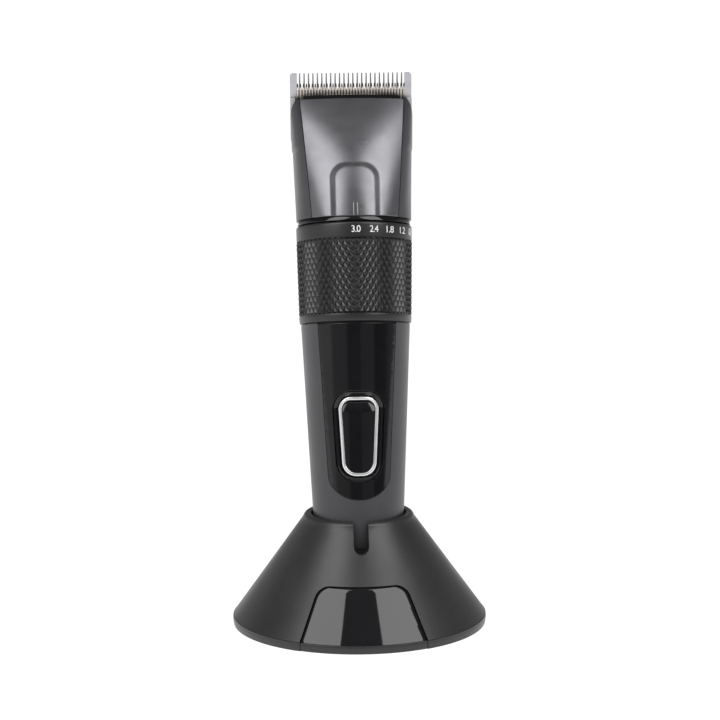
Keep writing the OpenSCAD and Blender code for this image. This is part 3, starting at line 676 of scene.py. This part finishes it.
def rear_half():
    shape = Shape()
    outer, inner = sunk(handle_r, HANDLE_SPREAD, (0, HANDLE_WALL))
    start, end = (math.pi / 2 + JOIN_ANGLE) * HANDLE_SPREAD, (SEAM - JOIN_ANGLE) * HANDLE_SPREAD
    corners = [(start, HANDLE_FOOT), (end, HANDLE_FOOT), (end, HANDLE_LEN), (start, HANDLE_LEN)]
    loop = dense(np.array([*corners, corners[0]]), 1.0)[:-1]
    screws = ((0, 24), (-8, 72), (8, 72))
    holes = [outer.cut(arc(middle, 2.4, 0, 360, 32)[:-1], True) for middle in screws]
    shape.slab([loop, *holes], 1.2, outer.at, inner.at)
    shape.build("handle_rear", "handset", "handle_satin", ["rear_shell"], bevel=0.16, sharp=40)


def inlay():
    shape = Shape()
    outline = inlay_path(0, 82.6)
    loop = closed(outline, line(outline[-1], outline[0], 40))
    shape.slab([loop, button_loop(BEZEL_MARGIN)], 0.8, fronted(handle_r, 0), fronted(handle_r, 1.17))
    shape.build("inlay_gloss", "handset", "handle_gloss", ["gloss_inlay"], bevel=0.16, sharp=40)


def switch():
    bezel = swept(button_loop, handle_r, [
        (2.0, 0.75), (1.92, 0.56), (1.7, 0.5), (1.45, 0.6), (1.2, 0.82), (0.9, 1.02), (0.6, 1.14),
        (0.38, 1.22), (0.25, 1.4), (0.25, 2.6), (2.0, 2.6)])
    bezel.build("switch_bezel", "handset", "handle_gloss", ["button_bezel"], sharp=40)
    trim = swept(button_loop, handle_r, [
        (0, 0.42), (0, -0.15), (-0.08, -0.3), (-0.25, -0.41), (-0.5, -0.45), (-0.75, -0.44), (-0.98, -0.36),
        (-1.13, -0.2), (-1.2, 0.0), (-1.2, 0.42)])
    trim.build("switch_trim", "button", "silver_trim", ["button_trim"], sharp=50)

    def valley(x):
        return 51.8 - 0.85 * (1 - np.abs(x) / 5.7)

    def dish(flat):
        above = np.clip(flat[:, 1] - valley(flat[:, 0]), 0, None)
        return -0.22 + 0.16 * above + 0.035 * above ** 2

    cap = Shape()
    xs = np.linspace(-5.5, 5.5, 23)
    cap.slab([button_loop(-1.25)], 0.5, fronted(handle_r, dish), fronted(handle_r, 3.0),
             [np.stack([xs, valley(xs)], 1)])
    ring = [(2 * math.cos(a), 44 + 2 * math.sin(a)) for a in np.linspace(0, 2 * math.pi, 25)[:-1]]
    cap.prism(np.array(ring), lambda p: np.stack([p[:, 0], np.full(len(p), -14.6), p[:, 1]], 1),
              lambda p: np.stack([p[:, 0], np.full(len(p), -12.1), p[:, 1]], 1))
    cap.build("switch_cap", "button", "handle_gloss", ["power_button"], bevel=0.1, sharp=30)


front_half()
rear_half()
inlay()
switch()


# ---- dial and collar ----
def dial():
    ring = Shape()
    ring.lathe([
        (17.5, 83.65), (19.4, 83.42), (19.68, 83.46), (19.8, 83.62), (19.86, 83.9), (19.98, 85.2),
        (20.0, 85.75), (19.95, 86.0), (19.47, 86.0), (19.47, 112.6), (20.42, 112.6), (20.5, 112.68),
        (20.52, 112.9), (20.59, 117.0), (20.56, 117.35), (20.4, 117.65), (20.1, 117.9), (19.8, 118.0),
        (17.5, 118.0)])
    ring.build("dial_body", "dial", "dial_satin", ["dial_ring"], sharp=32)
    z0, z1, pitch, count, rows = 86.02, 112.58, 1.93, 60, 14
    first = (z0 + z1 - pitch * (rows - 1)) / 2

    def at(turn, z, sink=0.0):
        r, a = 20.0 + 0.6 * (z - z0) / (z1 - z0) - sink, turn * 2 * math.pi / count
        return r * math.sin(a), -r * math.cos(a), z

    grip = Shape()
    groove, share, bore_r = 0.5, 0.26, 19.48
    for j in range(rows):
        z = first + j * pitch
        low, high = max(z0, z - pitch), min(z1, z + pitch)
        for i in range(count):
            x = i + (j % 2) / 2
            corners = [(x - 0.5, z), (x, low), (x + 0.5, z), (x, high)]
            foot = grip.add([at(cx, cz, groove) for cx, cz in corners])
            crown = grip.add([at(x + (cx - x) * share, z + (cz - z) * share) for cx, cz in corners])
            grip.strip(foot, crown, True)
            grip.faces.append(tuple(crown))
            if j in (0, rows - 1):
                end = low if j == 0 else high
                grip.face([at(x + 0.5, z, groove), at(x, end, groove), at(x + 1, end, groove)])
    bore = []
    for end, odd in ((z0, 0), (z1, (rows - 1) % 2 / 2)):
        turns = [2 * math.pi * (i + odd) / count for i in range(count)]
        bore.append([(bore_r * math.sin(a), -bore_r * math.cos(a), end) for a in turns])
        grip.grid([[at(i + odd, end, groove) for i in range(count)], bore[-1]], True)
    grip.grid(bore, True)
    grip.build("dial_grip", "dial", "grip_rubber", ["grip_sleeve"], bevel=0.05, segments=1, sharp=12)


def numbers():
    """The dial's numbers, from Blender's own letter shapes, wrapped round the band."""
    size, band_r, band_z, step = (3.15, 2.35, 0.14), 20.54, 115.35, math.radians(18)
    shape = Shape()
    for i, text in enumerate(("3.0", "2.4", "1.8", "1.2", "0.8")):
        curve = bpy.data.curves.new("number", "FONT")
        curve.body, curve.extrude = text, 0.05
        curve.space_character = 0.92
        drawn = bpy.data.objects.new("number", curve)
        bpy.context.scene.collection.objects.link(drawn)
        mesh = bpy.data.meshes.new_from_object(drawn.evaluated_get(bpy.context.evaluated_depsgraph_get()))
        flat = np.array([v.co for v in mesh.vertices])
        low, high = flat.min(0), flat.max(0)
        flat = (flat - (low + high) / 2) / (high - low) * size
        a, r = step * i + flat[:, 0] / (band_r + 0.06), band_r + flat[:, 2]
        start = len(shape.points)
        shape.add(np.stack([r * np.sin(a), -r * np.cos(a), band_z + flat[:, 1]], 1))
        shape.faces += [tuple(start + k for k in p.vertices) for p in mesh.polygons]
        bpy.data.objects.remove(drawn)
        bpy.data.curves.remove(curve)
        bpy.data.meshes.remove(mesh)
    shape.build("dial_numbers", "dial", "ink_white", sharp=30)


def collar():
    shape = Shape()
    shape.lathe([
        (17.0, 118.32), (20.0, 118.32), (20.12, 118.38), (20.14, 118.5), (20.09, 118.75), (20.0, 119.05),
        (19.89, 119.35), (19.76, 119.65), (19.6, 119.9), (19.45, 119.97), (17.0, 119.97)], 256)
    shape.build("collar_gloss", "handset", "handle_gloss", ["gloss_collar"], sharp=45)


dial()
numbers()
collar()


# ---- head ----
HEAD_Z0, HEAD_Z1 = 120.0, 164.2
HEAD_WALL = 1.6


def mix(a, b, t):
    return a + (b - a) * t


def rise(z):
    return (z - HEAD_Z0) / (HEAD_Z1 - HEAD_Z0)


def smooth(t):
    t = np.clip(t, 0, 1)
    return t * t * (3 - 2 * t)


def front_y(z):
    return -20.45 + 20 * (0.38 * rise(z) + 0.62 * rise(z) ** 2)


def half_w(z):
    return mix(20.45, 22, rise(z)) + 0.25 * smooth((z - 145.4) / 1.0)


def crease(z):
    return np.stack([mix(15.3, 18.9, rise(z)), front_y(z) + mix(6.66, 2.6, rise(z))], -1)


def side_y(z):
    return 9 * np.maximum(rise(z), 0) ** 0.8


def face_point(z, s, inset):
    """Points on the front face; s runs from -1 at the left crease to 1 at the right one."""
    c = crease(z)
    sag = c[..., 1] - front_y(z)
    r = (c[..., 0] ** 2 + sag ** 2) / (2 * sag)
    x = c[..., 0] * s
    share = 1 - inset / r
    return np.stack([x * share, front_y(z) + r - np.sqrt(r * r - x * x) * share, z], -1)


def cheek_point(z, s, inset):
    """Points on the right cheek; s runs from 0 at the crease to 1 at the widest place."""
    c, w = crease(z), np.stack([half_w(z), side_y(z)], -1)
    k = np.stack([w[..., 0], mix(c[..., 1], w[..., 1], 0.42)], -1)
    s = s[..., None]
    p = c * (1 - s) ** 2 + k * 2 * s * (1 - s) + w * s * s
    d = (k - c) * (1 - s) + (w - k) * s
    d /= np.linalg.norm(d, axis=-1, keepdims=True)
    return np.stack([p[..., 0] - inset * d[..., 1], p[..., 1] + inset * d[..., 0], z], -1)


def back_point(z, a, inset):
    """Points on the right half of the back; a runs from 0 at the widest place to a quarter turn."""
    e = 2 / mix(2, 4.5, rise(z))
    y0, y1 = side_y(z), mix(20.4, 13.6, rise(z)) - inset
    return np.stack([(half_w(z) - inset) * np.cos(a) ** e, y0 + (y1 - y0) * np.sin(a) ** e, z], -1)


def scoop(x, z):
    """Depth of the shallow arch-shaped scoop at the foot of the front face."""
    half, top, corner, deep, edge = 7.95, 138.6, 5.2, 0.62, 2.4
    qx, qz = np.abs(x) - (half - corner), z - (top - corner)
    out = np.hypot(np.maximum(qx, 0), np.maximum(qz, 0)) + np.minimum(np.maximum(qx, qz), 0) - corner
    return deep * smooth((edge / 2 - out) / edge)


def cover():
    shape = Shape()
    zs = np.linspace(HEAD_Z0, HEAD_Z1, 121)
    ss = np.linspace(-0.994, 0.994, 109)
    z, s = np.meshgrid(zs, ss, indexing="ij")
    x = crease(z)[..., 0] * s
    front, back = face_point(z, s, scoop(x, z)), face_point(z, s, HEAD_WALL)
    a, b = shape.grid(front), shape.grid(back)
    for one, other in ((a[0], b[0]), (a[-1], b[-1]), ([r[0] for r in a], [r[0] for r in b]),
                       ([r[-1] for r in a], [r[-1] for r in b])):
        shape.strip(one, other)
    shape.build("head_panel", "handset", "head_metallic", ["head_cover"], bevel=0.3, segments=3, sharp=50)
    mark = Shape()
    for x0 in (-0.7, 0.7):
        rows = []
        for z in np.linspace(120.25, 124.7, 14):
            at = np.array([(x0 - 0.13, 0.05), (x0 - 0.13, -0.045), (x0 + 0.13, -0.045), (x0 + 0.13, 0.05)])
            zz = np.full(4, z)
            rows.append(face_point(zz, at[:, 0] / crease(zz)[:, 0], scoop(at[:, 0], zz) + at[:, 1]))
        mark.grid(rows, True)
        mark.face(rows[0])
        mark.face(rows[-1])
    mark.build("index_mark", "handset", "silver_trim", sharp=40)


BACK_SPAN, CHEEK_SPAN = 27.0, 12.0


def rim_place(inset):
    """A placing of the head's rim, unrolled from the middle of the back: right is positive."""

    def place(flat):
        u, z = np.abs(flat[:, 0]), flat[:, 1]
        a = np.clip(1 - u / BACK_SPAN, 0, 1) * math.pi / 2
        s = np.clip(1 - (u - BACK_SPAN) / CHEEK_SPAN, 0, 1)
        cheek = cheek_point(z, s, inset)
        if inset:
            first = np.clip(1 - s * 6, 0, 1)[:, None]
            cheek = cheek * (1 - first) + face_point(z, np.full(len(z), 0.9995), inset) * first
        p = np.where((u < BACK_SPAN)[:, None], back_point(z, a, inset), cheek)
        p[:, 0] *= np.where(flat[:, 0] < 0, -1, 1)
        return p

    return place


def rim():
    surface = rim_place(0)
    whole = BACK_SPAN + CHEEK_SPAN
    us = np.linspace(0, whole, 1200)

    def where(y, z):
        ys = surface(np.stack([us, np.full(len(us), z)], 1))[:, 1]
        return float(np.interp(-y, -ys, us))

    wall = dense(np.array([(3.2, HEAD_Z1), (6.5, 158.4), (6.0, 155.6), (7.3, 148.4)]), 0.8)
    steep = np.array([(where(y, z), z) for y, z in wall])
    sill_y, sill_z = wall[-1]
    sill_slope = 0.2543
    sill = []
    for u in np.linspace(steep[-1, 0], 0, 36):
        z = 149.0
        for _ in range(12):
            z = sill_z + (float(surface(np.array([[u, z]]))[0, 1]) - sill_y) * sill_slope
        sill.append((u, z))
    right = path(line((0, HEAD_Z0), (whole, HEAD_Z0), 56), line((whole, HEAD_Z0), (whole, HEAD_Z1), 56),
                 line((whole, HEAD_Z1), steep[0], 8), steep, np.array(sill))
    loop = closed(right, mirrored(right))
    shape = Shape()
    shape.slab([loop], 0.9, surface, rim_place(HEAD_WALL))
    shape.build("head_rim", "handset", "head_dark", ["head_frame"], bevel=0.25, segments=3, sharp=42)


cover()
rim()


# ---- blades ----
def plate(y):
    """A placing of (x, z) points on a plate's face whose y may change with the height."""

    def place(flat):
        at = y(flat[:, 1]) if callable(y) else np.full(len(flat), y)
        return np.stack([flat[:, 0], at, flat[:, 1]], 1)

    return place


def comb(count, pitch, half, low, root, base, tip_z, tip):
    """A comb's outline: a plate whose top edge carries teeth that narrow from base to tip."""
    points = [(-half, low), (half, low), (half, root)]
    for i in range(count - 1, -1, -1):
        x = (i - (count - 1) / 2) * pitch
        points += [(x + base / 2, root), (x + tip / 2, tip_z), (x - tip / 2, tip_z), (x - base / 2, root)]
    return points + [(-half, root)]


def fixed_blade():
    half, root = BLADE_HALF, -6.4
    points = comb(24, 1.6, half, -23.5, root, 0.66, 0, 0.4)
    post = [(half, root), (half, -0.6), (half - 0.7, 0), (half - POST_W, 0), (half - POST_W, root)]
    right = points.index((half, root))
    points[right:right + 1] = post
    points[-1:] = [(-x, z) for x, z in post[::-1]]
    loop = dense(np.array([*points, points[0]]), 1.3)[:-1]
    holes = [arc((x, -18.6), 1.25, 0, 360, 24)[:-1] for x in (-19.2, 19.2)]
    shape = Shape()
    shape.slab([loop, *holes], 1.3, plate(0.0), plate(lambda z: np.minimum(1.3, 0.603 - z * 0.10625)))
    shape.build("blade_fixed", "blade_unit", "blade_steel", ["fixed_blade"], BLADE, bevel=0.09, sharp=30)


def moving_blade():
    half, low, root, tip, count = 19.6, -8.6, -5.6, -3.7, 37
    points = comb(count, RIB_PITCH, half, low, root, 0.7, tip, 0.34)
    points[0:2] = [(-half, low), (-18.4, low), (-18.4, -13), (18.4, -13), (18.4, low), (half, low)]
    loop = dense(np.array([*points, points[0]]), 1.2)[:-1]
    shape = Shape()
    shape.slab([loop], 1.2, plate(-0.78), plate(-0.06))
    section = [(-0.33, -0.77), (-0.24, -1.05), (0.24, -1.05), (0.33, -0.77)]
    # (height, share of the full width, how far forward it may stand) along a rib
    stations = [
        (-8.5, 1.0, -0.8), (-8.1, 1.0, -1.05), (-5.4, 1.0, -1.05), (-4.3, 0.75, -1.0), (-3.76, 0.5, -0.86),
    ]
    for i in range(count):
        x = (i - (count - 1) / 2) * RIB_PITCH
        rows = [[(x + sx * w, max(sy, front), z) for sx, sy in section] for z, w, front in stations]
        shape.grid(rows, True)
        shape.face(rows[0])
        shape.face(rows[-1])
    shape.build("blade_moving", "cutter", "cutter_steel", ["cutter_blade"], BLADE,
                bevel=0.04, segments=1, sharp=30)


def carrier():
    shape = Shape()
    lug = np.array([(16.4, -24.2), (21.9, -24.2), (21.9, -8.8), (20.2, -8.8), (20.2, -14), (16.4, -14)])
    for side in (-1, 1):
        outline = lug * [side, 1]
        loop = dense(np.array([*outline, outline[0]]), 1.5)[:-1]
        hole = arc((19.2 * side, -18.6), 1.0, 0, 360, 20)[:-1]
        shape.slab([loop, hole], 1.5, plate(lambda z: np.where(z > -14.01, -3.2, -4.4)), plate(-0.03))
    shape.box((-16.5, -0.9, -20.4), (16.5, -0.03, -17.6))
    shape.build("blade_holder", "blade_unit", "carrier_grey", ["blade_carrier"], BLADE, bevel=0.25, sharp=40)


fixed_blade()
moving_blade()
carrier()


# ---- floor, lights and camera ----
def floor():
    """A plain white floor, as even as a lit table."""
    far = 30
    mesh = bpy.data.meshes.new("floor")
    mesh.from_pydata([(-far, -far, 0), (far, -far, 0), (far, far, 0), (-far, far, 0)], [], [(0, 1, 2, 3)])
    ground = bpy.data.objects.new("floor", mesh)
    bpy.context.scene.collection.objects.link(ground)
    paper = bpy.data.materials.new("floor_paper")
    paper.use_nodes = True
    n = Nodes(paper)
    shader = n.shader.inputs
    shader["Roughness"].default_value = 0.6
    shader["Specular IOR Level"].default_value = 0.2
    n.link(n.mix(n.spread(n.noise(2.0), 0, 1), (0.10, 0.10, 0.10), (0.12, 0.12, 0.12)), shader["Base Color"])
    shader["Emission Color"].default_value = (1, 1, 1, 1)
    shader["Emission Strength"].default_value = 0.99
    mesh.materials.append(paper)


def direction(azimuth, elevation):
    """A unit vector at an azimuth from the front, towards +X, and an elevation, both in degrees."""
    a, e = math.radians(azimuth), math.radians(elevation)
    return Vector((math.sin(a) * math.cos(e), -math.cos(a) * math.cos(e), math.sin(e)))


def lamp(name, azimuth, elevation, away, size, radiance):
    """A soft box that faces the object."""
    data = bpy.data.lights.new(name, "AREA")
    data.shape, data.size, data.size_y = "RECTANGLE", *size
    data.energy = radiance * math.pi * size[0] * size[1]
    box = bpy.data.objects.new(name, data)
    bpy.context.scene.collection.objects.link(box)
    middle = Vector((0, 0, 0.1))
    box.location = middle + away * direction(azimuth, elevation)
    box.rotation_euler = (box.location - middle).to_track_quat("Z", "Y").to_euler()


# (azimuth from the front in degrees, brightness) round the upright cards; the first two are the ends
CARDS = [
    (-180, 0.30), (180, 0.30), (-120, 0.45), (-88, 0.60), (-60, 0.62), (-52, 0.30), (-24, 0.24), (-18, 0.05),
    (6, 0.05), (10, 0.16), (36, 0.20), (40, 0.02), (62, 0.04), (75, 0.2), (100, 0.35),
]


def sky():
    """A dim studio: a little light from above, and upright cards whose brightness changes with azimuth."""
    world = bpy.data.worlds.new("studio")
    bpy.context.scene.world = world
    world.use_nodes = True
    tree = world.node_tree
    back = tree.nodes["Background"]
    back.inputs["Color"].default_value = (1, 1, 1, 1)

    def add(kind, *feeds, **settings):
        node = tree.nodes.new(kind)
        for key, value in settings.items():
            setattr(node, key, value)
        for k, feed in enumerate(feeds):
            if isinstance(feed, (int, float)):
                node.inputs[k].default_value = feed
            else:
                tree.links.new(feed, node.inputs[k])
        return node

    way = add("ShaderNodeSeparateXYZ", add("ShaderNodeTexCoord").outputs["Generated"]).outputs
    ahead = add("ShaderNodeMath", way["Y"], -1.0, operation="MULTIPLY").outputs[0]
    turn = add("ShaderNodeMath", way["X"], ahead, operation="ARCTAN2").outputs[0]
    share = add("ShaderNodeMapRange", turn, -math.pi, math.pi, 0.0, 1.0).outputs[0]
    cards = add("ShaderNodeValToRGB", share)
    ramp = cards.color_ramp.elements
    for k, (degrees, level) in enumerate(CARDS):
        at = (degrees + 180) / 360
        spot = ramp[k] if k < 2 else ramp.new(at)
        spot.position = at
        spot.color = (level, level, level, 1)
    smoothly = {"interpolation_type": "SMOOTHSTEP"}
    low = add("ShaderNodeMapRange", way["Z"], 0.25, 0.5, 1.0, 0.0, **smoothly).outputs[0]
    lit = add("ShaderNodeMath", cards.outputs[0], low, operation="MULTIPLY").outputs[0]
    high = add("ShaderNodeMapRange", way["Z"], 0.3, 1.0, 0.04, 0.22, **smoothly).outputs[0]
    tree.links.new(add("ShaderNodeMath", lit, high, operation="ADD").outputs[0], back.inputs["Strength"])


def camera():
    data = bpy.data.cameras.new("camera")
    data.lens, data.sensor_width = 119.15, 36
    data.shift_x = 0.00375
    made = bpy.data.objects.new("camera", data)
    bpy.context.scene.collection.objects.link(made)
    aim, roll = Vector((0, 0, 0.0938)), math.radians(-0.5)
    made.location = aim + 0.835 * direction(-2.1, 9.36)
    look = (aim - made.location).to_track_quat("-Z", "Y").to_matrix()
    made.rotation_euler = (look @ Matrix.Rotation(roll, 3, "Z")).to_euler()
    bpy.context.scene.camera = made


floor()
sky()
lamp("box_left", -50, 44, 1.3, (0.75, 1.15), 3.9)
lamp("box_right", 49, 44, 1.3, (0.72, 1.15), 4.0)
bpy.context.scene.view_settings.view_transform = "Standard"
camera()
